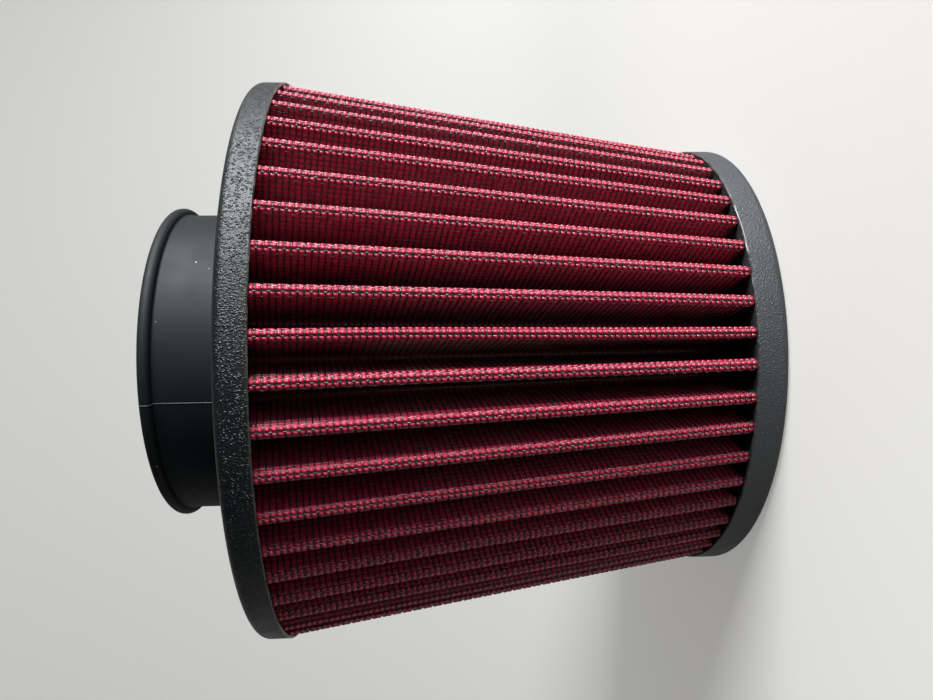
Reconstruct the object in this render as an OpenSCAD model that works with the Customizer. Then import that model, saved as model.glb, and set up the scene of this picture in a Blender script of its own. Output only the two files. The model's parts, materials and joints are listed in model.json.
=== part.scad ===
// Cone air filter that stands on its closed end cap with its inlet neck up.
// Origin at the middle of the rest face, +Z along the filter's axis to the mouth of the neck, millimetres.

/* [Overall] */
// Outer diameter of the base cap, the larger one
base_cap_d = 152.4; // [144:0.2:170]
// Outer diameter of the closed end cap
end_cap_d = 118.2; // [106:0.2:136]
// Height from the rest face to the base cap's outer face
body_h = 124.4; // [90:0.2:160]

/* [Caps] */
// Thickness of the base cap
base_cap_h = 7.0; // [6:0.1:12]
// Thickness of the end cap
end_cap_h = 7.4; // [5:0.1:12]
// Radius of the round on each cap's outer edge
cap_edge_r = 2.0; // [0.5:0.1:3]
// How far each cap stands out past the pleat tips
cap_overhang = 0.6; // [0.3:0.1:2]
// Width of the raised rim that the filter stands on
rest_rim_w = 15; // [8:0.5:25]
// Depth of the shallow dish inside that rim
dish_depth = 0.8; // [0.4:0.1:2]

/* [Pleats] */
// Number of pleats round the filter
pleat_count = 51; // [40:1:58]
// Radial depth of a pleat, from its tip to its innermost face
pleat_depth = 15; // [11:0.5:17]
// Outside radius of a folded pleat tip
tip_r = 1.45; // [1.4:0.05:2]
// Radius at the bottom of the valley between two pleats
valley_r = 0.5; // [0.3:0.1:0.9]
// Angle of the first pleat's tip where it meets the base cap
first_pleat_angle = 90; // [0:1:359]
// How much further round a pleat stands at the end cap than at the base cap
pleat_twist = 1.2; // [0:0.1:3]

/* [Layers] */
// Thickness of each woven wire screen
screen_t = 0.35; // [0.25:0.05:0.4]
// Thickness of the oiled cotton gauze
media_t = 0.5; // [0.35:0.05:0.55]

/* [Seam] */
// Half the gap between the two ends of the pleated strip
seam_half_gap = 0.1; // [0.05:0.05:0.2]
// How far the strip's ends run in past the pleats
seam_tab = 5; // [3:0.5:6]
// Sheet thickness of the seam clip
clip_t = 0.5; // [0.3:0.1:0.8]
// Length of the clip's two legs
clip_leg = 4; // [2:0.25:4.5]
// Clearance between the clip and the strip inside it
clip_gap = 0.1; // [0.05:0.05:0.2]

/* [Inlet neck] */
// Bore of the neck, the outside diameter of the tube that goes in it
neck_bore_d = 76.2; // [60:0.1:88]
// Wall of the neck
neck_wall = 3.2; // [2.5:0.1:4]
// Length of the neck outside the base cap
neck_len = 25.4; // [15:0.1:50]
// Radius of the round bead at the neck's mouth
bead_r = 1.5; // [1:0.1:2]
// How far the bead stands out from the neck
bead_h = 1.9; // [1.6:0.1:2.4]
// Radius of the hollow where the bead runs into the neck
bead_fillet_r = 0.6; // [0.4:0.1:1.2]
// Radius of the round on the bore's edge at the mouth
mouth_edge_r = 0.8; // [0.3:0.1:1.4]
// Thickness of the flange that the base cap holds
flange_t = 3; // [2:0.1:4.5]
// How far the flange stands out from the neck
flange_w = 8; // [4:0.5:10]
// Clearance round the neck and its flange in the base cap
cast_gap = 0.05; // [0:0.01:0.1]

/* [Hidden] */
$fn = 96;
// Facets of a tip and of a valley between two tangent walls
tip_steps = 4;
valley_steps = 3;

// Heights of the two inner faces between which the pleats stand
pack_z0 = end_cap_h;
pack_z1 = body_h - base_cap_h;
mouth_z = body_h + neck_len;

// The pleated strip, layer by layer, as depths below its outer face
media_s = screen_t;
inner_screen_s = screen_t + media_t;
strip_t = 2 * screen_t + media_t;

half_pitch = 180 / pleat_count;

neck_bore_r = neck_bore_d / 2;
neck_r = neck_bore_r + neck_wall;
flange_r = neck_r + flange_w;

function on_circle(r, a) = [r * cos(a), r * sin(a)];
function turned(p, a) = [p.x * cos(a) - p.y * sin(a), p.x * sin(a) + p.y * cos(a)];
function mirrored(p) = [p.x, -p.y];

// One end of the pleat pack: [height, radius of the pleat tips, angle of the first tip]
small_end = [pack_z0, end_cap_d / 2 - cap_overhang, first_pleat_angle + pleat_twist];
large_end = [pack_z1, base_cap_d / 2 - cap_overhang, first_pleat_angle];
function end_z(end) = end[0];
function tip_reach(end) = end[1];
function first_angle(end) = end[2];

// A pleat lies on +X. Its tip is an arc round tip_centre and the next valley an arc round valley_centre.
function tip_centre(end) = [tip_reach(end) - tip_r, 0];
function valley_floor(end) = tip_reach(end) - pleat_depth + strip_t;
function valley_centre(end) = on_circle(valley_floor(end) + valley_r, half_pitch);

// Direction in which a wall faces, where it leaves the tip to pass round a circle of radius r at point p
function wall_normal(end, p, r) =
    let (v = p - tip_centre(end))
    atan2(v.y, v.x) - acos((tip_r + r) / norm(v));

// The seam takes the place of one valley: there the walls bend to run side by side towards the axis.
function seam_offset(s) = (seam_half_gap + s) * on_circle(1, half_pitch - 90);
function seam_bend_outer(end) = on_circle(valley_floor(end), half_pitch) + seam_offset(0);
function seam_normal(end) = wall_normal(end, seam_bend_outer(end), 0);
function seam_bend(end, s) =
    let (
        wall_point = tip_centre(end) + on_circle(tip_r - s, seam_normal(end)),
        along = on_circle(1, seam_normal(end) + 90),
        across = on_circle(1, half_pitch - 90)
    )
    wall_point + along * (seam_half_gap + s - wall_point * across) / (along * across);
function seam_end(end, s) = on_circle(tip_reach(end) - pleat_depth - seam_tab, half_pitch) + seam_offset(s);

// Arc of a tip between the directions that its two walls face, at depth s below the outer face
function tip_arc(end, s, from, to) =
    [for (i = [0:tip_steps]) tip_centre(end) + on_circle(tip_r - s, from + (to - from) * i / tip_steps)];

function valley_arc(end, s) =
    let (
        from = wall_normal(end, valley_centre(end), valley_r) + 180,
        to = 2 * (half_pitch + 180) - from
    )
    [for (i = [0:valley_steps]) valley_centre(end) + on_circle(valley_r + s, from + (to - from) * i / valley_steps)];

// The whole strip at one end, at depth s, from the seam round to the seam again
function strip_path(end, s) =
    let (
        wall = wall_normal(end, valley_centre(end), valley_r),
        seam = seam_normal(end),
        last = pleat_count - 1
    )
    [
        mirrored(seam_end(end, s)),
        mirrored(seam_bend(end, s)),
        for (k = [0:last])
            let (from = k == 0 ? -seam : -wall, to = k == last ? seam : wall)
            for (p = concat(tip_arc(end, s, from, to), k == last ? [] : valley_arc(end, s)))
                turned(p, k * 2 * half_pitch),
        turned(seam_bend(end, s), last * 2 * half_pitch),
        turned(seam_end(end, s), last * 2 * half_pitch)
    ];

function placed(path, end) = [for (p = path) let (q = turned(p, first_angle(end))) [q.x, q.y, end_z(end)]];

// A strip with a thickness, straight from the small end to the large one. Each path runs from one edge to the other.
module strip_solid(outer_small, inner_small, outer_large, inner_large) {
    n = len(outer_small);
    points = concat(
        placed(outer_small, small_end), placed(inner_small, small_end),
        placed(outer_large, large_end), placed(inner_large, large_end)
    );
    faces = [
        for (i = [0:n - 2])
            let (a = i, b = n + i, c = 2 * n + i, d = 3 * n + i)
            for (face = [
                [a, c, c + 1], [a, c + 1, a + 1],
                [b, d + 1, d], [b, b + 1, d + 1],
                [a, a + 1, b + 1], [a, b + 1, b],
                [c, d, d + 1], [c, d + 1, c + 1]
            ]) face,
        [n, 3 * n, 2 * n], [n, 2 * n, 0],
        [n - 1, 3 * n - 1, 4 * n - 1], [n - 1, 4 * n - 1, 2 * n - 1]
    ];
    polyhedron(points, faces);
}

// One layer of the pleated strip, between two depths below its outer face
module pleated_layer(s_outer, s_inner) {
    strip_solid(
        strip_path(small_end, s_outer), strip_path(small_end, s_inner),
        strip_path(large_end, s_outer), strip_path(large_end, s_inner)
    );
}

module outer_screen() {
    color("#2b2a2c") pleated_layer(0, media_s);
}

module filter_media() {
    color("#a3122a") pleated_layer(media_s, inner_screen_s);
}

module inner_screen() {
    color("#2b2a2c") pleated_layer(inner_screen_s, strip_t);
}

// Channel of bent sheet round the strip's two ends. Depth 0 is its outside and clip_t its inside.
function clip_path(end, s) =
    let (
        half_w = seam_half_gap + strip_t + clip_gap + clip_t - s,
        web_r = tip_reach(end) - pleat_depth - seam_tab - clip_gap - clip_t,
        corners = [
            [web_r + clip_t + clip_leg, -half_w], [web_r + s, -half_w],
            [web_r + s, half_w], [web_r + clip_t + clip_leg, half_w]
        ]
    )
    [for (p = corners) turned(p, -half_pitch)];

module seam_clip() {
    color("#b9bcc0") strip_solid(
        clip_path(small_end, clip_t), clip_path(small_end, 0),
        clip_path(large_end, clip_t), clip_path(large_end, 0)
    );
}

// Half section of a ring from r_in to r_out and z_low to z_high, with its outer corner rounded at the top
module ring_section(r_in, r_out, z_low, z_high, edge_r) {
    translate([r_in, z_low]) square([r_out - r_in - edge_r, z_high - z_low]);
    translate([r_in, z_low]) square([r_out - r_in, z_high - z_low - edge_r]);
    translate([r_out - edge_r, z_high - edge_r]) circle(edge_r);
}

// Cast ring over the pleats' open end, with a seat for the neck's flange cut in from the pleat side
module base_cap() {
    color("#26292b") rotate_extrude() difference() {
        ring_section(neck_r + cast_gap, base_cap_d / 2, pack_z1, body_h, cap_edge_r);
        translate([0, pack_z1 - 1]) square([flange_r + cast_gap, flange_t + 1]);
    }
}

// Cast disc that closes the narrow end and stands on the rim round its shallow dish
module end_cap() {
    dish_r = end_cap_d / 2 - rest_rim_w;
    color("#26292b") rotate_extrude() difference() {
        translate([0, end_cap_h]) mirror([0, 1]) ring_section(0, end_cap_d / 2, 0, end_cap_h, cap_edge_r);
        polygon([[0, -1], [dish_r + dish_depth + 1, -1], [dish_r, dish_depth], [0, dish_depth]]);
    }
}

// Hollow between the bead and the neck: a circle that touches both
module bead_fillet_section(bead_centre) {
    reach = bead_r + bead_fillet_r;
    x = neck_r + bead_fillet_r;
    drop = sqrt(reach * reach - pow(x - bead_centre.x, 2));
    fillet_centre = [x, bead_centre.y - drop];
    difference() {
        polygon([
            [neck_bore_r, fillet_centre.y], fillet_centre,
            bead_centre, [neck_bore_r, bead_centre.y]
        ]);
        translate(fillet_centre) circle(bead_fillet_r);
    }
}

// Moulded sleeve: a flange with a belled bore inside the base cap, the neck, and the bead that holds a clamp on
module inlet_neck() {
    bead_centre = [neck_r + bead_h - bead_r, mouth_z - bead_r];
    color("#1f2123") rotate_extrude() difference() {
        union() {
            translate([neck_bore_r, pack_z1]) square([flange_r - neck_bore_r, flange_t]);
            translate([neck_bore_r, pack_z1]) square([neck_wall, mouth_z - bead_r - pack_z1]);
            translate([neck_bore_r, mouth_z - bead_r]) square([bead_centre.x - neck_bore_r, bead_r]);
            translate(bead_centre) circle(bead_r);
            bead_fillet_section(bead_centre);
        }
        difference() {
            translate([neck_bore_r - 1, pack_z1 - 1]) square([flange_t + 1, flange_t + 1]);
            translate([neck_bore_r + flange_t, pack_z1 + flange_t]) circle(flange_t);
        }
        difference() {
            translate([neck_bore_r - 1, mouth_z - mouth_edge_r]) square([mouth_edge_r + 1, mouth_edge_r + 1]);
            translate([neck_bore_r + mouth_edge_r, mouth_z - mouth_edge_r]) circle(mouth_edge_r);
        }
    }
}

inlet_neck();
base_cap();
end_cap();
outer_screen();
filter_media();
inner_screen();
seam_clip();
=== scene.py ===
"""Cone air filter: a pleated pack of oiled gauze and wire screen between two cast caps, with an inlet neck.

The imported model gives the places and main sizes. The filter stands on its closed end cap with its neck up, in
metres, and the sections below follow it as it is put together: pleated strip, seam, caps and neck.
"""
import json
import math

import bpy
import numpy as np
from mathutils import Matrix, Vector

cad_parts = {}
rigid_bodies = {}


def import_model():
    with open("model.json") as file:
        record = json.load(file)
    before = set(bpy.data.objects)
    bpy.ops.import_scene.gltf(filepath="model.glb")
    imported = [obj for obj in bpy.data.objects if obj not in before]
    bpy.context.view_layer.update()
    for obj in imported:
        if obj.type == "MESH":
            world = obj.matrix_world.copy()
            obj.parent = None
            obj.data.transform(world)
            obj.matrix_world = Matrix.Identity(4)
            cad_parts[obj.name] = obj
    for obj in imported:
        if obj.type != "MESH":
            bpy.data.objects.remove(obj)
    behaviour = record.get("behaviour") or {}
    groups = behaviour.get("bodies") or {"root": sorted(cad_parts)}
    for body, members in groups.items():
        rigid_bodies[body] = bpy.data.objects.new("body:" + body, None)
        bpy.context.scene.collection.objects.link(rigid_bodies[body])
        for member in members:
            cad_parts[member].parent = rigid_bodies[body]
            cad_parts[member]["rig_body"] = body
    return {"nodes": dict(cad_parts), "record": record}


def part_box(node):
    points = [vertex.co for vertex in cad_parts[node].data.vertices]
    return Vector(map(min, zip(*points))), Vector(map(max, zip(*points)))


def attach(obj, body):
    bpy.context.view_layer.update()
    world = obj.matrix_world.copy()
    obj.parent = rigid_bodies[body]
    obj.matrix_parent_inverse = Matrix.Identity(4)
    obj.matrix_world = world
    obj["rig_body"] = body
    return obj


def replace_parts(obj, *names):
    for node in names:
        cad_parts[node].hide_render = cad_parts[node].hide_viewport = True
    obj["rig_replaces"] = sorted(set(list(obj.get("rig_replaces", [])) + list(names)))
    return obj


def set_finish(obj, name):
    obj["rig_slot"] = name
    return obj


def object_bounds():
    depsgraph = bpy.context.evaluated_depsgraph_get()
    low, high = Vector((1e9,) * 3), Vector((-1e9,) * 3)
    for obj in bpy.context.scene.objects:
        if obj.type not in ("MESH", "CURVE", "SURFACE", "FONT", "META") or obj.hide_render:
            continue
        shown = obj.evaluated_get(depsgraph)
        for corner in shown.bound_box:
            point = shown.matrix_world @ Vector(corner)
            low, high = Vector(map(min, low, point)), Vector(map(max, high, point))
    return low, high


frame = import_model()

cad_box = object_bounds()
mm = 0.001

# The view and the studio. The camera looks at the filter's side along +Y with +X up in the picture, so that
# the neck is on the left and the end cap on the right. The floor runs up behind it in one soft cove.
picture_width = 933
focal_length_px = 769.87
camera_place = Vector((0, -227.14, 85.48)) * mm
camera_yaw, camera_pitch, camera_roll = (math.radians(a) for a in (-4.07, -0.52, -0.80))

camera = bpy.data.objects.new("camera", bpy.data.cameras.new("camera"))
camera.data.lens = camera.data.sensor_width * focal_length_px / picture_width
camera.data.clip_start = 0.01
lying_on_its_side = Matrix(((0, 1, 0), (0, 0, -1), (-1, 0, 0))).to_4x4()
camera.matrix_world = (
    Matrix.Translation(camera_place) @ lying_on_its_side
    @ Matrix.Rotation(camera_yaw, 4, "Y")
    @ Matrix.Rotation(-camera_pitch, 4, "X")
    @ Matrix.Rotation(camera_roll, 4, "Z")
)
scene = bpy.context.scene
scene.collection.objects.link(camera)
scene.camera = camera


def linear(code):
    """The linear colour of an sRGB hex code"""
    srgb = np.array([int(code[i:i + 2], 16) for i in (1, 3, 5)]) / 255
    rgb = np.where(srgb <= 0.04045, srgb / 12.92, ((srgb + 0.055) / 1.055) ** 2.4)
    return (*rgb.tolist(), 1.0)


def add(material, kind, sockets=None, stops=(), **settings):
    """Adds a node to a material or the world. A socket is given a value, or an earlier node's output.

    Where sockets share a name they are numbered: a Mix node's factor and its two colours are 0, 6 and 7.
    stops are the places and colours on a colour ramp, from its start to its end.
    """
    node = material.node_tree.nodes.new("ShaderNode" + kind)
    for name, value in settings.items():
        setattr(node, name, value)
    for name, value in (sockets or {}).items():
        if isinstance(value, bpy.types.NodeSocket):
            material.node_tree.links.new(value, node.inputs[name])
        else:
            node.inputs[name].default_value = value
    for number, (place, colour) in enumerate(stops):
        ramp = node.color_ramp.elements
        stop = ramp[number] if number < 2 else ramp.new(place)
        stop.position, stop.color = place, colour
    return node


def new_material(name):
    """An empty material and its output node"""
    material = bpy.data.materials.new(name)
    material.use_nodes = True
    material.node_tree.nodes.clear()
    return material, add(material, "OutputMaterial")


def select_parts(piece, kind, test):
    """In edit mode, selects the faces, edges or verts of a piece whose middle passes the test"""
    bpy.ops.mesh.select_mode(type={"faces": "FACE", "edges": "EDGE", "verts": "VERT"}[kind])
    bpy.ops.mesh.select_all(action="DESELECT")
    bpy.ops.object.mode_set(mode="OBJECT")
    mesh = piece.data
    points = mesh.vertices
    if kind == "verts":
        for vert in points:
            vert.select = test(vert.co)
    elif kind == "edges":
        for edge in mesh.edges:
            edge.select = test((points[edge.vertices[0]].co + points[edge.vertices[1]].co) / 2)
    else:
        for face in mesh.polygons:
            face.select = test(face.center)
    bpy.ops.object.mode_set(mode="EDIT")


floor_width = 7.0
floor_front = -0.4
wall_place = 1.3
wall_height = 3.5
cove_radius = 1.15
cove_steps = 32
bpy.ops.object.select_all(action="DESELECT")
bpy.ops.mesh.primitive_plane_add(size=1, location=(0, (floor_front + wall_place) / 2, 0))
bpy.ops.transform.resize(value=(floor_width, wall_place - floor_front, 1))
floor = bpy.context.object
floor.name = "studio_floor"
bpy.ops.object.transform_apply(location=True, scale=True)
bpy.ops.object.mode_set(mode="EDIT")
select_parts(floor, "edges", lambda p: p.y > wall_place - mm)
bpy.ops.mesh.extrude_region_move(TRANSFORM_OT_translate={"value": (0, 0, wall_height)})
select_parts(floor, "edges", lambda p: p.y > wall_place - mm and p.z < mm)
bpy.ops.mesh.bevel(offset=cove_radius, segments=cove_steps, affect="EDGES")
bpy.ops.object.mode_set(mode="OBJECT")
bpy.ops.object.shade_smooth()

# Matt white card. The camera sees it glow a little, so that it stays pale far from the window, and the object
# sees it as a duller card, so that it isn't lit from below as much as a white floor would light it.
card, card_out = new_material("matt_white_card")
card_seen = add(card, "LightPath")
card_glow = add(card, "MapRange", {
    "Value": card_seen.outputs["Is Camera Ray"], "To Min": 0.2, "To Max": 0.33,
})
card_tone = add(card, "Mix", {
    0: card_seen.outputs["Is Camera Ray"], 6: linear("#8b8a87"), 7: linear("#d3d1cc"),
}, data_type="RGBA")
card_shader = add(card, "BsdfPrincipled", {
    "Base Color": card_tone.outputs[2], "Roughness": 0.9, "Specular IOR Level": 0.1,
    "Emission Color": linear("#f0efe9"), "Emission Strength": card_glow.outputs[0],
})
card.node_tree.links.new(card_shader.outputs[0], card_out.inputs["Surface"])
floor.data.materials.append(card)

# The window: one soft light above the filter as the picture shows it, somewhat in front of it and to its
# left, which the camera doesn't see
middle = (cad_box[0] + cad_box[1]) / 2
window_place = middle + Vector((0.93, -0.415, 0.24))
window_side = 0.6
window_power = 27
daylight = bpy.data.lights.new("window", "AREA")
daylight.shape, daylight.size, daylight.size_y = "RECTANGLE", window_side, window_side
daylight.energy, daylight.color = window_power, linear("#fbfdff")[:3]
window = bpy.data.objects.new("window", daylight)
window.location = window_place
window.rotation_euler = (middle - window_place).to_track_quat("-Z", "Y").to_euler()
window.visible_camera = False
scene.collection.objects.link(window)

# The rest of the room, from the foot of the picture to its top: a little light from below, next to none from
# the sides, and much from above, where the window is. The camera sees plain pale card instead.
room_levels = ((0, 0.1), (0.25, 0.04), (0.55, 0.02), (1, 0.8))
world = bpy.data.worlds.new("room_light")
scene.world = world
world.use_nodes = True
world.node_tree.nodes.clear()
world_out = add(world, "OutputWorld")
direction = add(world, "TexCoord")
direction_axes = add(world, "SeparateXYZ", {0: direction.outputs["Generated"]})
from_below = add(world, "MapRange", {"Value": direction_axes.outputs["X"], "From Min": -1.0})
room_level = add(world, "ValToRGB", {"Fac": from_below.outputs[0]}, stops=[
    (place, (level, level, level, 1)) for place, level in room_levels])
room_glow = add(world, "Background", {"Color": linear("#d2def2"), "Strength": room_level.outputs["Color"]})
pale_card = add(world, "Background", {"Color": linear("#e2e0db"), "Strength": 1.0})
seen = add(world, "LightPath")
room_or_card = add(world, "MixShader", {
    0: seen.outputs["Is Camera Ray"], 1: room_glow.outputs[0], 2: pale_card.outputs[0],
})
world.node_tree.links.new(room_or_card.outputs[0], world_out.inputs["Surface"])
scene.view_settings.view_transform = "Standard"


# The pleated strip: a blanket of oiled cotton gauze between two woven wire screens. The three are folded
# together into fifty-one pleats and bent round into a cone, so one rule folds each layer from its flat cut.
pleats = 51
tip_radius = 1.45 * mm
valley_radius = 0.5 * mm
pleat_depth = 15 * mm
screen_thickness = 0.35 * mm
gauze_thickness = 0.5 * mm
strip_thickness = 2 * screen_thickness + gauze_thickness
seam_half_gap = 0.1 * mm
seam_tab = 5 * mm
cap_overhang = 0.6 * mm
first_tip = math.radians(90)
lean = math.radians(1.2)
pleat_strip = 30.15 * mm
half_turn = math.pi / pleats
pack_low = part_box("outer_screen")[0].z
pack_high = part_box("outer_screen")[1].z
small_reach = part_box("end_cap")[1].x - cap_overhang
large_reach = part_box("base_cap")[1].x - cap_overhang

# The strip was bunched by hand before it was cast in, so the pleats don't stand quite evenly: how far each
# one stands to the side of its place at the end cap and at the base cap, with the seen side's as they look
stray_spread = 0.25 * mm
seen_pleats = slice(16, 34)
settling = np.random.default_rng(51)
stray_at_end_cap, stray_at_base_cap = settling.normal(0, stray_spread, (2, pleats))
stray_at_end_cap[[0, -1]] = stray_at_base_cap[[0, -1]] = 0
stray_at_end_cap[seen_pleats] = np.array([
    -0.3, -0.3, -0.6, -1.0, -0.6, -1.15, -1.25, -0.87, -0.82,
    -0.38, -0.18, 0.12, 0.25, 0.15, 0.45, 0.4, 0.3, 0.4,
]) * mm
stray_at_base_cap[seen_pleats] = np.array([
    -0.3, -0.3, -0.6, -1.1, -0.75, -1.2, -1.65, -1.12, -0.73,
    -0.38, 0.08, 0.07, 0.12, 0.42, 0.6, 0.7, 0.5, 0.4,
]) * mm

# How far each one has settled between the caps: sideways in one bow or in two, and inwards
bow_spread = 0.08 * mm
waver_spread = 0.05 * mm
sink_spread = 0.10 * mm
bow = settling.normal(0, bow_spread, pleats)
waver = settling.normal(0, waver_spread, pleats)
sink = np.abs(settling.normal(0, sink_spread, pleats))


def unit(angle):
    """Direction of an angle, as an x and a y"""
    return np.array([np.cos(angle), np.sin(angle)])


def fold(along, height, depth):
    """Folds points of the flat strip into the cone. depth is measured in from the strip's outer face.

    One side of a pleat goes round the tip, down the wall and round the valley. At the seam the last wall
    runs straight on into a tab. The folds lean inwards towards the small end, and the rows of the strip stay
    square to them, so that a row lies higher in the valleys than on the tips.
    """
    along, height, depth = np.broadcast_arrays(along, height, depth)
    share = np.minimum((height - pack_low) / (pack_high - pack_low), 1)
    reach = small_reach + (large_reach - small_reach) * share
    tip = np.stack([reach - tip_radius, 0 * reach])
    valley_floor = reach - pleat_depth + strip_thickness

    pleat = np.clip(np.round(along / pleat_strip), 0, pleats - 1).astype(int)
    off = along - pleat * pleat_strip
    at_seam = ((pleat == 0) & (off < 0)) | ((pleat == pleats - 1) & (off > 0))

    # The wall leaves the round of the tip and meets the round of the valley without a corner
    valley = (valley_floor + valley_radius) * unit(half_turn)[:, None] - tip
    gap = np.hypot(*valley)
    wall_face = np.arctan2(valley[1], valley[0]) - np.arccos((tip_radius + valley_radius) / gap)
    wall_length = np.sqrt(gap ** 2 - (tip_radius + valley_radius) ** 2)
    half_length = tip_radius * wall_face + wall_length + valley_radius * (wall_face - half_turn)
    run = np.abs(off) * half_length / (pleat_strip / 2)

    # At the seam it is aimed at the tab, which lies just beside the line between two pleats
    across = unit(half_turn - math.pi / 2)[:, None]
    bend = valley_floor * unit(half_turn)[:, None] + seam_half_gap * across - tip
    seam_face = np.arctan2(bend[1], bend[0]) - np.arccos(tip_radius / np.hypot(*bend))
    face = np.where(at_seam, seam_face, wall_face)
    wall_start = tip + (tip_radius - depth) * unit(face)
    downhill = unit(face + math.pi / 2)
    seam_wall = (seam_half_gap + depth - (wall_start * across).sum(0)) / (downhill * across).sum(0)
    wall = np.where(at_seam, seam_wall, wall_length)

    # The stretches of one side, and the one that each point is on
    on_tip = tip + (tip_radius - depth) * unit(np.minimum(run / tip_radius, face))
    on_wall = wall_start + np.clip(run - tip_radius * face, 0, wall) * downhill
    past = np.maximum(run - tip_radius * face - wall, 0)
    turned = np.minimum(past / valley_radius, face - half_turn)
    in_valley = tip + valley + (valley_radius + depth) * unit(face + math.pi - turned)
    in_tab = on_wall - past * unit(half_turn)[:, None]
    x, y = np.where(run < tip_radius * face, on_tip, on_wall)
    x, y = np.where(past > 0, np.where(at_seam, in_tab, in_valley), [x, y])
    y = np.where(off < 0, -y, y)

    # Square to the cone's side, a point further in lies higher, where the cone is wider
    taper = (large_reach - small_reach) / (pack_high - pack_low)
    rise = taper * (reach - x)
    stretch = 1 + taper * rise / x
    x, y = x * stretch, y * stretch

    # The tips are free to settle, and the valleys, which hold one another, aren't
    share = np.clip(share, 0, 1)
    free = np.clip(1 - run / half_length, 0, 1) ** 1.5
    y = y + free * (bow[pleat] * np.sin(math.pi * share) + waver[pleat] * np.sin(2 * math.pi * share))
    x = x - free * sink[pleat] * np.sin(math.pi * share)
    low_stray, high_stray = (
        np.interp(along / pleat_strip, np.arange(pleats), stray)
        for stray in (stray_at_end_cap, stray_at_base_cap))
    stray = low_stray * (1 - share) + high_stray * share
    angle = first_tip + lean * (1 - share) + 2 * half_turn * pleat + stray / reach
    across_x = x * np.cos(angle) - y * np.sin(angle)
    across_y = x * np.sin(angle) + y * np.cos(angle)
    return np.stack([across_x, across_y, height + rise], -1)


def from_tip(along):
    """How far places along the strip are from the tip of their pleat"""
    return np.abs(along - np.round(along / pleat_strip) * pleat_strip)


def read_points(mesh):
    """The points of a mesh as an array with a row for each"""
    points = np.empty(len(mesh.vertices) * 3, np.float32)
    mesh.vertices.foreach_get("co", points)
    return points.reshape(-1, 3).astype(float)


def read_numbers(items, attribute, each=1):
    """The whole numbers that a mesh keeps for its edges, faces or corners, as an array with a row for each"""
    numbers = np.empty(len(items) * each, int)
    items.foreach_get(attribute, numbers)
    return numbers.reshape(-1, each)


def write_points(mesh, points):
    """Gives a mesh its points back after they were moved"""
    mesh.vertices.foreach_set("co", points.astype(np.float32).ravel())
    mesh.update()


# The weave of the screens, and how the strip is divided. A pleat's folds need close columns and its flat
# walls few, and the places are given for one side of a pleat. The strip runs on by two rows into each cap.
wire_pitch = 1.3623 * mm
first_wire = 0.37 * mm
wire_rows = 81
cast_in_rows = 2
row_pitch = (pack_high - pack_low) / wire_rows
cast_in = cast_in_rows * row_pitch
fold_columns = np.array([0, 0.45, 0.9, 1.35, 1.75, 2.12, 8, 14.3, 14.7]) * mm
strip_low, strip_top = pack_low - cast_in, pack_high + cast_in


def pleat_columns(columns):
    """Flat places along the strip where it needs a column, over all its pleats and both seam tabs"""
    one_pleat = np.concatenate([-columns[:0:-1], columns, [pleat_strip / 2]])
    strip = (np.arange(pleats)[:, None] * pleat_strip + one_pleat).ravel()
    start, end = -pleat_strip / 2, pleats * pleat_strip - pleat_strip / 2
    tab = np.array([0, seam_tab + strip_thickness])
    return np.concatenate([start - tab[::-1], strip, end + tab[1:]])


def count_wires(mesh, along, height):
    """Lays the UV map of a flat layer of the strip, which counts the wires of the screen both ways"""
    corner = read_numbers(mesh.loops, "vertex_index")[:, 0]
    counted = np.column_stack([(along - first_wire) / wire_pitch, (height - pack_low) / row_pitch])[corner]
    mesh.uv_layers[0].name = "wires"
    mesh.uv_layers[0].data.foreach_set("uv", counted.astype(np.float32).ravel())


def folded_sheet(name, columns, rows, depth, thickness):
    """A layer of the strip as a grid that is folded and then given its thickness"""
    bpy.ops.object.select_all(action="DESELECT")
    bpy.ops.mesh.primitive_grid_add(x_subdivisions=len(columns) - 1, y_subdivisions=len(rows) - 1, size=1)
    sheet = bpy.context.object
    sheet.name = name
    points = read_points(sheet.data)
    along = np.interp((points[:, 0] + 0.5) * (len(columns) - 1), np.arange(len(columns)), columns)
    height = np.interp((points[:, 1] + 0.5) * (len(rows) - 1), np.arange(len(rows)), rows)
    count_wires(sheet.data, along, height)
    write_points(sheet.data, fold(along, height, depth))
    wall = sheet.modifiers.new("thickness", "SOLIDIFY")
    wall.thickness, wall.offset = thickness, -1
    bpy.ops.object.modifier_apply(modifier=wall.name)
    bpy.ops.object.shade_smooth_by_angle(angle=math.radians(50))
    return sheet


# Oiled cotton gauze: red dye, and an oil film that glints. Its red is drawn darker towards the valleys, as
# painted shade. It swells through each opening of the wire screen as a small pillow, darker at its edges by
# the wires, partly from oil soaked in and partly as painted shade. Its threads are too fine to show in the
# render, so a fuzz of about half a millimetre stands for them.
gauze, gauze_out = new_material("oiled_cotton_gauze")
gauze_uv = add(gauze, "UVMap", uv_map="wires")
gauze_axes = add(gauze, "SeparateXYZ", {0: gauze_uv.outputs["UV"]})
swell = []
for axis in ("X", "Y"):
    turn = add(gauze, "Math", {0: gauze_axes.outputs[axis], 1: math.pi}, operation="MULTIPLY")
    wave = add(gauze, "Math", {0: turn.outputs[0]}, operation="SINE")
    hump = add(gauze, "Math", {0: wave.outputs[0]}, operation="ABSOLUTE")
    swell.append(add(gauze, "Math", {0: hump.outputs[0], 1: 0.45}, operation="POWER"))
pillow = add(gauze, "Math", {0: swell[0].outputs[0], 1: swell[1].outputs[0]}, operation="MULTIPLY")
place = add(gauze, "TexCoord")
fuzz = add(gauze, "TexNoise", {"Vector": place.outputs["Object"], "Scale": 1 / (0.55 * mm), "Detail": 2.0})
shade = add(gauze, "TexNoise", {"Vector": place.outputs["Object"], "Scale": 1 / (2.2 * mm), "Detail": 1.0})
wires_to_valley = pleat_strip / wire_pitch / 2
along_strip = add(gauze, "Math", {0: gauze_axes.outputs["X"], 1: first_wire / wire_pitch}, operation="ADD")
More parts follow.
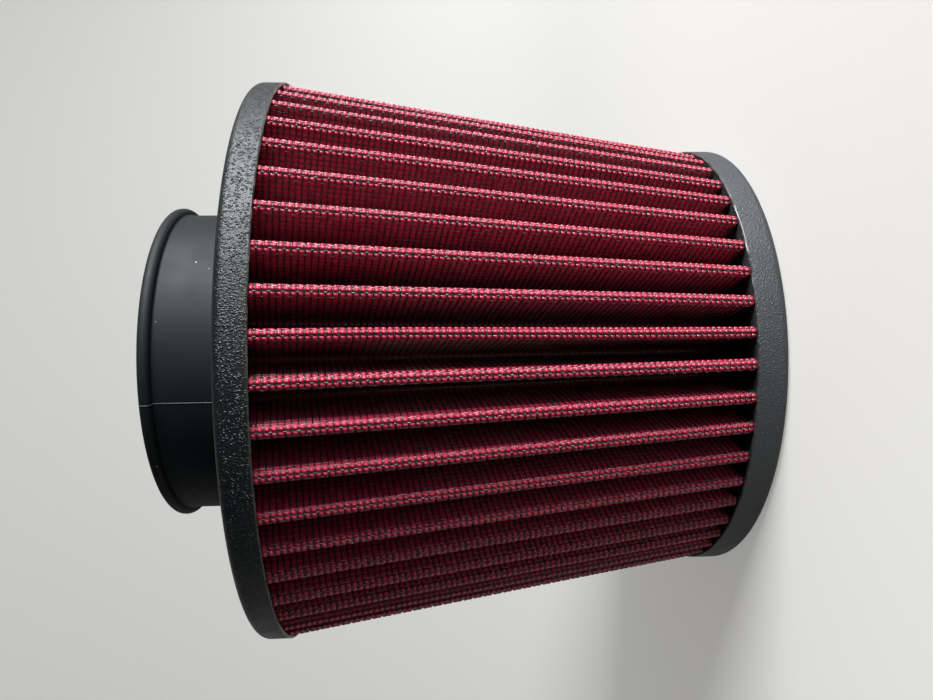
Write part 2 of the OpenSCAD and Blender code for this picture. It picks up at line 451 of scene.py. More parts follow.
off_tip = add(gauze, "Math", {0: along_strip.outputs[0], 1: wires_to_valley}, operation="PINGPONG")
valley_share = add(gauze, "Math", {0: off_tip.outputs[0], 1: wires_to_valley}, operation="DIVIDE")
# Painted shade: the dye is drawn darker from the tips to the valleys, where the pleats shade one another
dye_and_valley_shade = add(gauze, "ValToRGB", {"Fac": valley_share.outputs[0]}, stops=[
    (0, linear("#cc284a")), (0.13, linear("#c8284a")), (0.24, linear("#bc284a")), (0.6, linear("#a42444")),
    (1, linear("#8c1e3c"))])
patch = add(gauze, "MapRange", {
    "Value": shade.outputs["Fac"], "From Min": 0.3, "From Max": 0.7, "To Min": 0.75, "To Max": 1.15,
})
patchy_dye_and_valley_shade = add(gauze, "VectorMath", {0: dye_and_valley_shade.outputs["Color"], "Scale": patch.outputs[0]}, operation="SCALE")
# Near the wires each pillow darkens: partly oil soaked into the gauze, partly painted shade under the wires
soaked_and_shaded = add(gauze, "Mix", {
    0: pillow.outputs[0], 6: linear("#3a0818"), 7: patchy_dye_and_valley_shade.outputs[0],
}, data_type="RGBA")
pillow_bump = add(gauze, "Bump", {"Strength": 1.0, "Distance": 0.16 * mm, "Height": pillow.outputs[0]})
fuzz_bump = add(gauze, "Bump", {
    "Strength": 0.5, "Distance": 0.12 * mm, "Height": fuzz.outputs["Fac"], "Normal": pillow_bump.outputs[0],
})
gauze_shader = add(gauze, "BsdfPrincipled", {
    "Base Color": soaked_and_shaded.outputs[2], "Roughness": 0.45, "IOR": 1.47, "Normal": fuzz_bump.outputs[0],
    "Coat Weight": 0.6, "Coat Roughness": 0.15, "Coat IOR": 1.47, "Coat Normal": fuzz_bump.outputs[0],
})
gauze.node_tree.links.new(gauze_shader.outputs[0], gauze_out.inputs["Surface"])

gauze_rows = np.concatenate([[strip_low], np.linspace(pack_low, pack_high, 17), [strip_top]])
filter_gauze = folded_sheet(
    "filter_gauze", pleat_columns(fold_columns), gauze_rows, screen_thickness, gauze_thickness)
filter_gauze.data.materials.append(gauze)
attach(filter_gauze, "root")
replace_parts(filter_gauze, "filter_media")
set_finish(filter_gauze, "oiled_cotton_gauze")

# Gauze cushions: the same gauze where it is stretched over the tips of the pleats and stands out through the
# openings of the wire screen, one cushion to an opening. One is modelled, and the rest are its copies.
cushion_reach = 2.05 * mm
cushion_side = 1.2 * mm
cushion_top_side = 0.82 * mm
cushion_foot = 0.42 * mm
cushion_top = -0.03 * mm
cushion_cells = 3
cushion_rows = round((strip_top - strip_low) / row_pitch)
cushion_middle = (0, strip_low + row_pitch / 2, -cushion_foot)
widening = cushion_top_side / (cushion_side / cushion_cells)
bpy.ops.object.select_all(action="DESELECT")
bpy.ops.mesh.primitive_grid_add(
    x_subdivisions=cushion_cells, y_subdivisions=cushion_cells, size=cushion_side, location=cushion_middle)
bpy.ops.object.transform_apply(location=True)
cushion = bpy.context.object
bpy.ops.object.mode_set(mode="EDIT")
select_parts(cushion, "verts", lambda p: max(abs(p.x), abs(p.y - cushion_middle[1])) < cushion_side / 4)
bpy.ops.transform.resize(value=(widening, widening, 1), center_override=cushion_middle)
bpy.ops.transform.translate(value=(0, 0, cushion_foot - cushion_top))
bpy.ops.object.mode_set(mode="OBJECT")
up_the_strip = cushion.modifiers.new("up_the_strip", "ARRAY")
up_the_strip.use_relative_offset, up_the_strip.use_constant_offset = False, True
up_the_strip.constant_offset_displace, up_the_strip.count = (0, row_pitch, 0), cushion_rows
bpy.ops.object.modifier_apply(modifier=up_the_strip.name)

openings = first_wire + wire_pitch * (np.arange(math.ceil(pleats * pleat_strip / wire_pitch)) + 0.5)
tip_openings = openings[from_tip(openings) < cushion_reach]
for number, half_of_openings in enumerate(np.array_split(tip_openings, 2), 1):
    bpy.ops.object.select_all(action="DESELECT")
    for opening in half_of_openings:
        tile = bpy.data.objects.new("tile", cushion.data.copy())
        scene.collection.objects.link(tile)
        tile.location.x = opening
        tile.select_set(True)
    bpy.context.view_layer.objects.active = tile
    bpy.ops.object.join()
    bpy.ops.object.transform_apply(location=True)
    cushions = bpy.context.object
    cushions.name = f"gauze_cushions_{number}"
    flat = read_points(cushions.data)
    count_wires(cushions.data, flat[:, 0], flat[:, 1])
    write_points(cushions.data, fold(flat[:, 0], flat[:, 1], -flat[:, 2]))
    bpy.ops.object.shade_smooth()
    cushions.data.materials.append(gauze)
    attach(cushions, "root")
    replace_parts(cushions, "filter_media")
    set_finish(cushions, "oiled_cotton_gauze")
bpy.data.objects.remove(cushion)

# Outer screen: plain-woven steel wire with a glossy black coat, folded over the gauze. The cross wires follow
# the folds and the long wires run from cap to cap, over one cross wire and under the next. On the pleats'
# flat walls the gauze has swelled round the long wires, so that they lie half sunk in it and run straight.
wire_radius = 0.105 * mm
wire_sides = 4
wire_depth = 0.24 * mm
sunk_wire_depth = 0.38 * mm
weave_height = 0.17 * mm
woven_reach = 2.6 * mm
wire_columns = np.array([0, 0.7, 1.4, 2.12, 14.35]) * mm
straight_rows = np.concatenate([[strip_low], np.linspace(pack_low, pack_high, 7), [strip_top]])
crossings = pack_low + row_pitch * np.arange(-cast_in_rows, wire_rows + cast_in_rows + 1)

coated_wire, coated_wire_out = new_material("black_coated_steel_wire")
wire_place = add(coated_wire, "TexCoord")
wire_coat = add(coated_wire, "TexNoise", {"Vector": wire_place.outputs["Object"], "Scale": 1 / (1.5 * mm)})
wire_gloss = add(coated_wire, "MapRange", {"Value": wire_coat.outputs["Fac"], "To Min": 0.10, "To Max": 0.20})
wire_shader = add(coated_wire, "BsdfPrincipled", {
    "Base Color": linear("#1c1619"), "Roughness": wire_gloss.outputs[0], "IOR": 2.0,
})
coated_wire.node_tree.links.new(wire_shader.outputs[0], coated_wire_out.inputs["Surface"])

# The same wire where it stands proud on the pleats' tips, given a lighter grey coat: a painted highlight for
# the light that its glossy black coat catches there
highlit_wire, highlit_wire_out = new_material("black_coated_steel_wire_painted_highlight")
highlit_place = add(highlit_wire, "TexCoord")
highlight_patches = add(highlit_wire, "TexNoise", {
    "Vector": highlit_place.outputs["Object"], "Scale": 1 / (1.1 * mm),
})
highlight_tone = add(highlit_wire, "ValToRGB", {"Fac": highlight_patches.outputs["Fac"]}, stops=[
    (0.35, linear("#4a4246")), (0.6, linear("#8a8286"))])
highlit_shader = add(highlit_wire, "BsdfPrincipled", {
    "Base Color": highlight_tone.outputs["Color"], "Roughness": 0.25, "IOR": 2.0,
})
highlit_wire.node_tree.links.new(highlit_shader.outputs[0], highlit_wire_out.inputs["Surface"])


def lay_wire(net, along, height, depth):
    """Adds a wire to the flat net, as a line through the points given"""
    along, height, depth = np.broadcast_arrays(along, height, depth)
    wire = net.splines.new("POLY")
    wire.points.add(len(along) - 1)
    wire.points.foreach_set("co", np.column_stack([along, height, -depth, np.ones(len(along))]).ravel())


def lay_net(first, count):
    """The flat net for some pleats, long wires first, and how many points these have once they are round"""
    net = bpy.data.curves.new("net", "CURVE")
    net.dimensions, net.bevel_depth, net.bevel_resolution, net.use_fill_caps = "3D", wire_radius, 0, True
    valleys = (np.arange(first, first + count + 1) - 0.5) * pleat_strip
    for wire_number in range(*np.ceil((valleys[[0, -1]] - first_wire) / wire_pitch).astype(int)):
        wire_along = first_wire + wire_number * wire_pitch
        if from_tip(wire_along) < woven_reach:
            over_or_under = (-1.0) ** (wire_number + np.arange(len(crossings)))
            lay_wire(net, wire_along, crossings, wire_depth + weave_height * over_or_under)
        else:
            lay_wire(net, wire_along, straight_rows, sunk_wire_depth)
    long_points = wire_sides * sum(len(wire.points) for wire in net.splines)
    one_pleat = np.concatenate([-wire_columns[:0:-1], wire_columns])
    folds = (np.arange(first, first + count)[:, None] * pleat_strip + one_pleat).ravel()
    cross_columns = np.unique(np.concatenate([folds, valleys]))
    for crossing in crossings:
        lay_wire(net, cross_columns, crossing, wire_depth)
    return net, long_points


def finish_wires(mesh, flat, long_points):
    """Gives the long wires sharp bends where they cross others, and a lighter grey coat, a painted highlight,
    where they stand proud

    flat are the wires' points before they were folded. An edge round a wire is shorter than the wire is
    thick, and one along it is longer.
    """
    ends = read_numbers(mesh.edges, "vertices", 2)
    round_wire = np.abs(flat[ends[:, 0]] - flat[ends[:, 1]]).max(axis=1) < 2 * wire_radius
    sharp_edge = mesh.attributes.get("sharp_edge") or mesh.attributes.new("sharp_edge", "BOOLEAN", "EDGE")
    sharp_edge.data.foreach_set("value", round_wire & (ends.max(axis=1) < long_points))
    corner = read_numbers(mesh.polygons, "loop_start")[:, 0]
    point = read_numbers(mesh.loops, "vertex_index")[corner, 0]
    # Painted highlight: the long wires on the tips get the lighter grey coat
    highlit_faces = (point < long_points) & (from_tip(flat[point, 0]) < woven_reach)
    mesh.polygons.foreach_set("material_index", highlit_faces.astype(np.int32))


# The mesh is one length, and is modelled in five only because it has so many wires
pleats_per_net = (9, 9, 9, 12, 12)
first = 0
for number, count in enumerate(pleats_per_net, 1):
    net, long_points = lay_net(first, count)
    screen = bpy.data.objects.new(f"wire_screen_{number}", net)
    scene.collection.objects.link(screen)
    bpy.ops.object.select_all(action="DESELECT")
    screen.select_set(True)
    bpy.context.view_layer.objects.active = screen
    bpy.ops.object.convert(target="MESH")
    screen = bpy.context.object
    flat = read_points(screen.data)
    write_points(screen.data, fold(flat[:, 0], flat[:, 1], -flat[:, 2]))
    bpy.ops.object.shade_smooth()
    screen.data.materials.clear()
    for coat in (coated_wire, highlit_wire):
        screen.data.materials.append(coat)
    finish_wires(screen.data, flat, long_points)
    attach(screen, "root")
    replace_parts(screen, "outer_screen")
    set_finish(screen, "coated_wire_screen")
    first += count

# Inner screen: the same woven wire on the clean side, folded with the gauze. It is seen only through the
# neck, so it is one folded sheet, on which the wires are relief and the gauze shows between them.
lined_wire, lined_wire_out = new_material("coated_wire_over_gauze")
lined_uv = add(lined_wire, "UVMap", uv_map="wires")
lined_axes = add(lined_wire, "SeparateXYZ", {0: lined_uv.outputs["UV"]})
near_wire = []
for axis in ("X", "Y"):
    cell = add(lined_wire, "Math", {0: lined_axes.outputs[axis], 1: 0.5}, operation="PINGPONG")
    near_wire.append(add(lined_wire, "MapRange", {
        "Value": cell.outputs[0], "From Min": 0.06, "From Max": 0.14, "To Min": 1.0, "To Max": 0.0,
    }))
wires = add(lined_wire, "Math", {0: near_wire[0].outputs[0], 1: near_wire[1].outputs[0]}, operation="MAXIMUM")
lined_colour = add(lined_wire, "Mix", {
    0: wires.outputs[0], 6: linear("#5e0a1e"), 7: linear("#242024"),
}, data_type="RGBA")
lined_bump = add(lined_wire, "Bump", {"Strength": 1.0, "Distance": 0.2 * mm, "Height": wires.outputs[0]})
lined_shader = add(lined_wire, "BsdfPrincipled", {
    "Base Color": lined_colour.outputs[2], "Roughness": 0.35, "Normal": lined_bump.outputs[0],
})
lined_wire.node_tree.links.new(lined_shader.outputs[0], lined_wire_out.inputs["Surface"])

inner_columns = np.array([0, 0.7, 1.4, 2.12, 14.3, 14.55, 14.8]) * mm
inner_wire_screen = folded_sheet(
    "inner_wire_screen", pleat_columns(inner_columns), straight_rows, screen_thickness + gauze_thickness,
    screen_thickness)
inner_wire_screen.data.materials.append(lined_wire)
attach(inner_wire_screen, "root")
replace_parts(inner_wire_screen, "inner_screen")
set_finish(inner_wire_screen, "coated_wire_screen")

# Seam clip: a thin channel of aluminium sheet, rolled to shape and crimped over the two ends of the strip.
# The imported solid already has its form, so it only gets the finish of rolled sheet, with fine lines along it.
aluminium, aluminium_out = new_material("rolled_aluminium_sheet")
sheet_place = add(aluminium, "TexCoord")
rolled = add(aluminium, "Mapping", {"Vector": sheet_place.outputs["Object"], "Scale": (1, 1, 0.02)})
lines = add(aluminium, "TexNoise", {"Vector": rolled.outputs[0], "Scale": 1 / (0.3 * mm), "Detail": 2.0})
sheet_gloss = add(aluminium, "MapRange", {"Value": lines.outputs["Fac"], "To Min": 0.28, "To Max": 0.46})
lines_bump = add(aluminium, "Bump", {"Strength": 0.3, "Distance": 0.02 * mm, "Height": lines.outputs["Fac"]})
sheet_shader = add(aluminium, "BsdfPrincipled", {
    "Base Color": linear("#c9cbcd"), "Metallic": 1.0, "Roughness": sheet_gloss.outputs[0],
    "Normal": lines_bump.outputs[0],
})
aluminium.node_tree.links.new(sheet_shader.outputs[0], aluminium_out.inputs["Surface"])
for slot in frame["nodes"]["seam_clip"].material_slots:
    slot.material = aluminium

# End cap: soft polyurethane cast round the narrow end of the pleats in an open mould. It stands on the rim
# round its shallow dish. Its sides have the mould's pebbled grain, and a thin flash stands where it parted.
ring_steps = 256
edge_round = 2 * mm
edge_steps = 8
flash_width = 0.25 * mm
flash_height = 0.25 * mm
flash_waver = 0.1 * mm
flash_lean = 0.997
rest_rim = 15 * mm
dish_depth = 0.8 * mm


def cylinder(name, radius, low, high):
    """Starts a round piece on the axis, ready for edit mode"""
    bpy.ops.object.select_all(action="DESELECT")
    bpy.ops.mesh.primitive_cylinder_add(
        vertices=ring_steps, radius=radius, depth=high - low, location=(0, 0, (low + high) / 2))
    piece = bpy.context.object
    piece.name = name
    bpy.ops.object.transform_apply(location=True)
    bpy.ops.object.mode_set(mode="EDIT")
    return piece


def on_axis(p):
    """True for a point in the middle of the piece, where the round end faces have their centres"""
    return math.hypot(p.x, p.y) < mm / 10


def is_at(p, radius=None, height=None, margin=0.02 * mm):
    """True for a point at a distance from the axis, at a height, or both"""
    return ((radius is None or abs(math.hypot(p.x, p.y) - radius) < margin)
            and (height is None or abs(p.z - height) < margin))


def round_edge(piece, radius, height, amount, segments=edge_steps):
    """Rounds the edge that runs round a piece at that radius and height"""
    select_parts(piece, "edges", lambda p: is_at(p, radius, height))
    bpy.ops.mesh.bevel(offset=amount, segments=segments, affect="EDGES")


def raise_flash(piece, radius, height, rise, seed):
    """Raises the thin, uneven flash that stands at a cap's edge on its pleat side, and leans it in a little

    A loop is first cut in the cap's side close to the flash, so that the side's smooth shading stays even.
    """
    select_parts(piece, "faces", lambda p: is_at(p, radius))
    bpy.ops.mesh.bisect(plane_co=(0, 0, height - 0.8 * rise), plane_no=(0, 0, 1))
    select_parts(piece, "faces", lambda p: is_at(p, radius - flash_width / 2, height, flash_width / 3))
    bpy.ops.mesh.extrude_region_move(TRANSFORM_OT_translate={"value": (0, 0, rise)})
    bpy.ops.transform.vertex_random(offset=flash_waver, uniform=1.0, seed=seed)
    bpy.ops.transform.resize(value=(flash_lean, flash_lean, 1), center_override=(0, 0, 0))


def finish_flash(piece, radius, height, rise, material):
    """Gives the flash that was raised on a cap, from near its foot up, a finish of its own"""
    piece.data.materials.append(material)
    piece.active_material_index = len(piece.data.materials) - 1
    bpy.ops.object.mode_set(mode="EDIT")
    select_parts(piece, "faces", lambda p: (
        p.xy.length > radius - 2 * flash_width and (p.z - height) / rise > 0.3))
    bpy.ops.object.material_slot_assign()
    bpy.ops.object.mode_set(mode="OBJECT")


def finish_round(piece, sharp):
    """Leaves edit mode, smooths the edges that are blunter than the angle, and lays the UV map in millimetres

    The side is unrolled, and a face that looks up or down is mapped as it lies.
    """
    bpy.ops.mesh.select_all(action="SELECT")
    bpy.ops.mesh.normals_make_consistent(inside=False)
    bpy.ops.object.mode_set(mode="OBJECT")
    bpy.ops.object.shade_smooth_by_angle(angle=math.radians(sharp))
    mesh = piece.data
    for face in mesh.polygons:
        facing = math.atan2(face.center.y, face.center.x)
        for loop in face.loop_indices:
            p = mesh.vertices[mesh.loops[loop].vertex_index].co
            if abs(face.normal.z) > 0.8:
                round_mm, up_mm = p.x / mm, p.y / mm
            else:
                turn = (math.atan2(p.y, p.x) - facing + math.pi) % math.tau - math.pi + facing
                round_mm, up_mm = turn * math.hypot(p.x, p.y) / mm, p.z / mm
            mesh.uv_layers[0].data[loop].uv = round_mm, up_mm
    mesh.uv_layers[0].name = "round"


# The grain of the mould, in millimetres on the map of a round piece
pebble_width = 0.55
grit_width = 0.32
wear_patch = 2.5
gloss_patch = 6.0


def cast_polyurethane(name, colour, corner, pebble_relief, roughness, ior):
    """Pebbled soft polyurethane. Its pebbles lean one way, so that it sparkles in streaks.

    corner is the height of the face whose rounded corner came out of the mould smooth. pebble_relief is how
    high the largest pebbles stand. roughness is that of the glossiest patches, and with ior it sets how dry
    or how wet the cast looks.
    """
    material, out = new_material(name)
    round_map = add(material, "UVMap", uv_map="round")
    leaning = add(material, "Mapping", {
        "Vector": round_map.outputs["UV"], "Rotation": (0, 0, math.radians(-38)), "Scale": (1.3, 0.9, 1),
    })
    pebbles = add(material, "TexVoronoi", {
        "Vector": leaning.outputs[0], "Scale": 1 / pebble_width, "Randomness": 1.0,
    })
    dome = add(material, "MapRange", {
        "Value": pebbles.outputs["Distance"], "From Min": 0.0, "From Max": 0.62, "To Min": 1.0, "To Max": 0.0,
    }, interpolation_type="SMOOTHSTEP")
    pebble_draw = add(material, "SeparateColor", {0: pebbles.outputs["Color"]})
    pebble_size = add(material, "MapRange", {"Value": pebble_draw.outputs[0], "To Min": 0.15, "To Max": 1.0})
    wear = add(material, "TexNoise", {
        "Vector": round_map.outputs["UV"], "Scale": 1 / wear_patch, "Detail": 2.0,
    })
    wear_share = add(material, "MapRange", {
        "Value": wear.outputs["Fac"], "From Min": 0.35, "From Max": 0.65, "To Min": 0.6, "To Max": 1.0,
    })
    place = add(material, "TexCoord")
    up = add(material, "SeparateXYZ", {0: place.outputs["Object"]})
    past_corner = add(material, "Math", {0: up.outputs["Z"], 1: corner}, operation="SUBTRACT")
    from_corner = add(material, "Math", {0: past_corner.outputs[0]}, operation="ABSOLUTE")
    grained = add(material, "MapRange", {
        "Value": from_corner.outputs[0], "From Min": 0.15 * mm, "From Max": 0.7 * mm,
        "To Min": 0.0, "To Max": 1.0,
    })
    relief = dome
    for share in (pebble_size, wear_share, grained):
        relief = add(material, "Math", {0: relief.outputs[0], 1: share.outputs[0]}, operation="MULTIPLY")
    grit = add(material, "TexNoise", {"Vector": leaning.outputs[0], "Scale": 1 / grit_width, "Detail": 2.0})
    patches = add(material, "TexNoise", {
        "Vector": round_map.outputs["UV"], "Scale": 1 / gloss_patch, "Detail": 2.0,
    })
    pebble_bump = add(material, "Bump", {
        "Strength": 1.0, "Distance": pebble_relief, "Height": relief.outputs[0],
    })
    grit_bump = add(material, "Bump", {
        "Strength": grained.outputs[0], "Distance": 0.13 * mm, "Height": grit.outputs["Fac"],
        "Normal": pebble_bump.outputs[0],
    })
    gloss = add(material, "MapRange", {
        "Value": patches.outputs["Fac"], "From Min": 0.3, "From Max": 0.7,
        "To Min": roughness, "To Max": roughness + 0.1,
    })
    paler = tuple(1.25 * c for c in linear(colour)[:3]) + (1.0,)
    tone = add(material, "ValToRGB", {"Fac": patches.outputs["Fac"]}, stops=[(0, linear(colour)), (1, paler)])
    shader = add(material, "BsdfPrincipled", {
        "Base Color": tone.outputs["Color"], "Roughness": gloss.outputs[0], "IOR": ior,
        "Normal": grit_bump.outputs[0],
    })
    material.node_tree.links.new(shader.outputs[0], out.inputs["Surface"])
    return material


# Trimmed flash: the same polyurethane where it was cut, paler and without grain
trimmed, trimmed_out = new_material("trimmed_polyurethane_flash")
trimmed_place = add(trimmed, "TexCoord")
trimmed_patch = add(trimmed, "TexNoise", {"Vector": trimmed_place.outputs["Object"], "Scale": 1 / (0.8 * mm)})
trimmed_tone = add(trimmed, "ValToRGB", {"Fac": trimmed_patch.outputs["Fac"]}, stops=[
    (0.35, linear("#232321")), (0.65, linear("#55534f"))])
trimmed_shader = add(trimmed, "BsdfPrincipled", {
    "Base Color": trimmed_tone.outputs["Color"], "Roughness": 0.3,
})
trimmed.node_tree.links.new(trimmed_shader.outputs[0], trimmed_out.inputs["Surface"])

end_low, end_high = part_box("end_cap")
end_radius = -end_low.x
cast_end_cap = cylinder("cast_end_cap", end_radius, end_low.z, end_high.z)
select_parts(cast_end_cap, "faces", lambda p: on_axis(p) and p.z > end_low.z + mm)
bpy.ops.mesh.inset(thickness=flash_width)
select_parts(cast_end_cap, "faces", lambda p: on_axis(p) and p.z < end_low.z + mm)
bpy.ops.mesh.inset(thickness=rest_rim - dish_depth)
bpy.ops.mesh.inset(thickness=dish_depth)
bpy.ops.transform.translate(value=(0, 0, dish_depth))
round_edge(cast_end_cap, end_radius, end_low.z, edge_round)
raise_flash(cast_end_cap, end_radius, end_high.z, flash_height, 7)
finish_round(cast_end_cap, 40)
cast_end_cap.data.materials.append(
    cast_polyurethane("dry_cast_polyurethane", "#2a2e32", end_low.z, 0.16 * mm, 0.46, 1.8))
finish_flash(cast_end_cap, end_radius, end_high.z, flash_height, trimmed)
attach(cast_end_cap, "root")
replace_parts(cast_end_cap, "end_cap")
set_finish(cast_end_cap, "cast_polyurethane")

# Potting: where the liquid polyurethane of the end cap wetted the pleats before it set, it has climbed a
# little way up them in a dull black skin, higher in the valleys than at the tips and nowhere quite even.
climb_at_tips = 0.3 * mm
climb_in_valleys = 3.2 * mm
uneven_share = 0.22
potting_rows = 4
potting_columns = pleat_columns(np.array([0, 0.7, 1.4, 2.12, 4, 6, 9, 12, 14.3, 14.7]) * mm)
bpy.ops.object.select_all(action="DESELECT")
bpy.ops.mesh.primitive_grid_add(x_subdivisions=len(potting_columns) - 1, y_subdivisions=potting_rows, size=1)
end_cap_potting = bpy.context.object
end_cap_potting.name = "end_cap_potting"
points = read_points(end_cap_potting.data)
step = np.round((points[:, 0] + 0.5) * (len(potting_columns) - 1)).astype(int)
share = points[:, 1] + 0.5
along = potting_columns[step]
uneven = np.convolve(np.random.default_rng(3).normal(0, 1, len(potting_columns)), np.ones(3) / 3, "same")
to_valley = np.minimum(from_tip(along) / (pleat_strip / 2), 1)
climb = climb_at_tips + (climb_in_valleys - climb_at_tips) * to_valley ** 0.7
climb = climb * (1 + uneven_share * uneven[step])
depth = np.interp(share, [0, 0.7, 1], np.array([0.02, 0.06, 0.4]) * mm)
rise = fold(along, pack_low, depth)[:, 2] - pack_low
write_points(end_cap_potting.data, fold(along, pack_low + climb * share - rise, depth))
bpy.ops.object.shade_smooth()

potting, potting_out = new_material("potted_polyurethane_skin")
potting_place = add(potting, "TexCoord")
potting_ripple = add(potting, "TexNoise", {
    "Vector": potting_place.outputs["Object"], "Scale": 1 / (1.2 * mm),
})
potting_bump = add(potting, "Bump", {
    "Strength": 0.5, "Distance": 0.1 * mm, "Height": potting_ripple.outputs["Fac"],
})
potting_shader = add(potting, "BsdfPrincipled", {
    "Base Color": linear("#121114"), "Roughness": 0.6, "IOR": 1.4, "Normal": potting_bump.outputs[0],
})
potting.node_tree.links.new(potting_shader.outputs[0], potting_out.inputs["Surface"])
end_cap_potting.data.materials.append(potting)
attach(end_cap_potting, "root")
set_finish(end_cap_potting, "cast_polyurethane")

# Base cap: the larger ring, cast in the same way over the open end of the pleats. Inside its thin rim it is
# hollow, and the pleats run on through the hollow and are sunk in its floor. The flange of the neck lies in a
# seat on its pleat side.
mounts = {mount["name"]: mount for mount in frame["record"]["mounts"]}
neck_bore = mounts["inlet_bore"]["dims"]["r_mm"] * mm
neck_wall = 3.2 * mm
neck_radius = neck_bore + neck_wall
flange_width = 8 * mm
flange_thickness = 3 * mm
cast_gap = 0.05 * mm

base_low, base_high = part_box("base_cap")
base_radius = -base_low.x
rim_width = 1.0 * mm
hollow_width = 17.5 * mm
sunk_in = 0.1 * mm
hollow_depth = cast_in - sunk_in
seat_radius = neck_radius + flange_width + cast_gap
cast_base_cap = cylinder("cast_base_cap", base_radius, base_low.z, base_high.z)
select_parts(cast_base_cap, "faces", lambda p: on_axis(p) and p.z > base_low.z + mm)
bpy.ops.mesh.inset(thickness=base_radius - neck_radius - cast_gap)
select_parts(cast_base_cap, "faces", lambda p: on_axis(p) and p.z < base_low.z + mm)
bpy.ops.mesh.inset(thickness=flash_width)
bpy.ops.mesh.inset(thickness=rim_width - flash_width)
bpy.ops.mesh.extrude_region_move(TRANSFORM_OT_translate={"value": (0, 0, hollow_depth)})
bpy.ops.mesh.inset(thickness=hollow_width)
bpy.ops.mesh.extrude_region_move(TRANSFORM_OT_translate={"value": (0, 0, -hollow_depth)})
bpy.ops.mesh.inset(thickness=base_radius - rim_width - hollow_width - seat_radius)
bpy.ops.mesh.extrude_region_move(TRANSFORM_OT_translate={"value": (0, 0, flange_thickness)})
bpy.ops.mesh.inset(thickness=flange_width)
select_parts(cast_base_cap, "faces", on_axis)
bpy.ops.mesh.bridge_edge_loops()
round_edge(cast_base_cap, base_radius, base_high.z, edge_round)
raise_flash(cast_base_cap, base_radius, base_low.z, -flash_height, 8)
finish_round(cast_base_cap, 40)
cast_base_cap.data.materials.append(
    cast_polyurethane("pebbled_cast_polyurethane", "#131616", base_high.z, 0.3 * mm, 0.34, 1.5))
finish_flash(cast_base_cap, base_radius, base_low.z, -flash_height, trimmed)
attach(cast_base_cap, "root")
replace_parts(cast_base_cap, "base_cap")
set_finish(cast_base_cap, "cast_polyurethane")

# Inlet neck: a sleeve moulded in black rubber in a polished two-part mould. The round bead at its mouth keeps
# a clamp on, and the flange at its foot, where the bore is belled, is locked in the base cap.
bead_height = 1.9 * mm
bead_length = 3 * mm
bead_round = 1.42 * mm
bead_hollow = 0.45 * mm
mouth_round = 0.8 * mm
bell_round = flange_thickness - 0.1 * mm


def cut_across(heights):
    """Cuts edge loops across the whole piece at the heights"""
    for height in heights:
        bpy.ops.mesh.select_all(action="SELECT")
        bpy.ops.mesh.bisect(plane_co=(0, 0, height), plane_no=(0, 0, 1))


neck_low, neck_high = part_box("inlet_neck")
bead_foot = neck_high.z - bead_length
flange_top = neck_low.z + flange_thickness
moulded_neck = cylinder("moulded_neck", neck_radius, neck_low.z, neck_high.z)
select_parts(moulded_neck, "faces", on_axis)
bpy.ops.mesh.inset(thickness=neck_wall, use_individual=True)
select_parts(moulded_neck, "faces", on_axis)
bpy.ops.mesh.bridge_edge_loops()
cut_across((flange_top, bead_foot))
select_parts(moulded_neck, "faces", lambda p: is_at(p, neck_radius) and p.z < flange_top)
bpy.ops.mesh.extrude_region_shrink_fatten(TRANSFORM_OT_shrink_fatten={"value": flange_width})
select_parts(moulded_neck, "faces", lambda p: is_at(p, neck_radius) and p.z > bead_foot)
bpy.ops.mesh.extrude_region_shrink_fatten(TRANSFORM_OT_shrink_fatten={"value": bead_height})
round_edge(moulded_neck, neck_radius + bead_height, neck_high.z, bead_round)
round_edge(moulded_neck, neck_radius + bead_height, bead_foot, bead_round)
round_edge(moulded_neck, neck_radius, bead_foot, bead_hollow, 4)
round_edge(moulded_neck, neck_bore, neck_high.z, mouth_round, 5)
round_edge(moulded_neck, neck_bore, neck_low.z, bell_round)
finish_round(moulded_neck, 50)

# Moulded rubber: black and satin, with the faint cloudiness of a handled surface and a few specks of dust
satin, satin_out = new_material("smooth_moulded_rubber")
satin_place = add(satin, "TexCoord")
cloud = add(satin, "TexNoise", {
    "Vector": satin_place.outputs["Object"], "Scale": 1 / (9 * mm), "Detail": 3.0,
})
orange_peel = add(satin, "TexNoise", {"Vector": satin_place.outputs["Object"], "Scale": 1 / (0.9 * mm)})
satin_gloss = add(satin, "MapRange", {
    "Value": cloud.outputs["Fac"], "From Min": 0.3, "From Max": 0.7, "To Min": 0.56, "To Max": 0.64,
})
dust_cells = add(satin, "TexVoronoi", {"Vector": satin_place.outputs["Object"], "Scale": 1 / (5 * mm)})
dust_size = add(satin, "SeparateColor", {0: dust_cells.outputs["Color"]})
dust_edge = add(satin, "Math", {0: dust_size.outputs[0], 1: 0.055}, operation="MULTIPLY")
dust_spot = add(satin, "Math", {
    0: dust_cells.outputs["Distance"], 1: dust_edge.outputs[0],
}, operation="LESS_THAN")
dusty_black = add(satin, "Mix", {
    0: dust_spot.outputs[0], 6: linear("#1b1e20"), 7: linear("#a8a6a2"),
}, data_type="RGBA")
satin_bump = add(satin, "Bump", {
    "Strength": 0.35, "Distance": 0.02 * mm, "Height": orange_peel.outputs["Fac"],
})
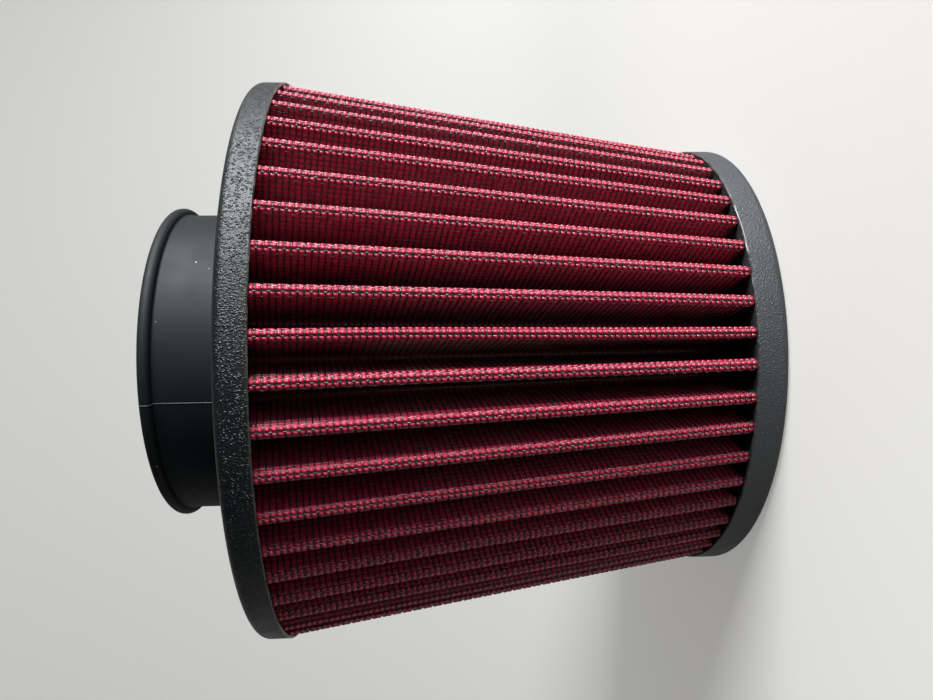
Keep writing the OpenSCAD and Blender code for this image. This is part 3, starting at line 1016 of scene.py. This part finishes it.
satin_shader = add(satin, "BsdfPrincipled", {
    "Base Color": dusty_black.outputs[2], "Roughness": satin_gloss.outputs[0], "IOR": 1.34,
    "Normal": satin_bump.outputs[0],
})
satin.node_tree.links.new(satin_shader.outputs[0], satin_out.inputs["Surface"])
moulded_neck.data.materials.append(satin)
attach(moulded_neck, "root")
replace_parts(moulded_neck, "inlet_neck")
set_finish(moulded_neck, "neck_rubber")

# Parting lines: where the two halves of the neck's mould met, they left a hair-thin ridge of its rubber along
# each side of it, from the base cap to the mouth, which was trimmed and is a little paler.
parting_angles = {"neck_parting_line_1": -104.06, "neck_parting_line_2": 75.94}
parting_radius = 0.11 * mm
parting_reach = math.radians(0.5)
ridge, ridge_out = new_material("trimmed_rubber_flash")
ridge_shader = add(ridge, "BsdfPrincipled", {"Base Color": linear("#4b4d4f"), "Roughness": 0.5})
ridge.node_tree.links.new(ridge_shader.outputs[0], ridge_out.inputs["Surface"])
for name, angle in parting_angles.items():
    outward = Vector((math.cos(math.radians(angle)), math.sin(math.radians(angle))))
    bpy.ops.object.select_all(action="DESELECT")
    moulded_neck.select_set(True)
    bpy.context.view_layer.objects.active = moulded_neck
    bpy.ops.object.duplicate()
    line = bpy.context.object
    bpy.ops.object.mode_set(mode="EDIT")
    cut_across((base_high.z + parting_radius, neck_high.z - 2 * parting_radius))
    select_parts(line, "verts", lambda p: (
        p.xy.length > neck_radius - 0.1 * mm and base_high.z < p.z < neck_high.z - parting_radius
        and p.xy.normalized().dot(outward) > math.cos(parting_reach)))
    bpy.ops.mesh.select_all(action="INVERT")
    bpy.ops.mesh.delete(type="VERT")
    bpy.ops.object.mode_set(mode="OBJECT")
    bpy.ops.object.convert(target="CURVE")
    line = bpy.context.object
    line.name = name
    line.data.bevel_depth, line.data.bevel_resolution, line.data.use_fill_caps = parting_radius, 1, True
    bpy.ops.object.convert(target="MESH")
    line.data.materials.clear()
    line.data.materials.append(ridge)
    # The copy doesn't stand for the neck's node, as the sleeve itself does
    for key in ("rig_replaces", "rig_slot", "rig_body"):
        if key in line:
            del line[key]
    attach(line, "root")
    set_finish(line, "neck_rubber")
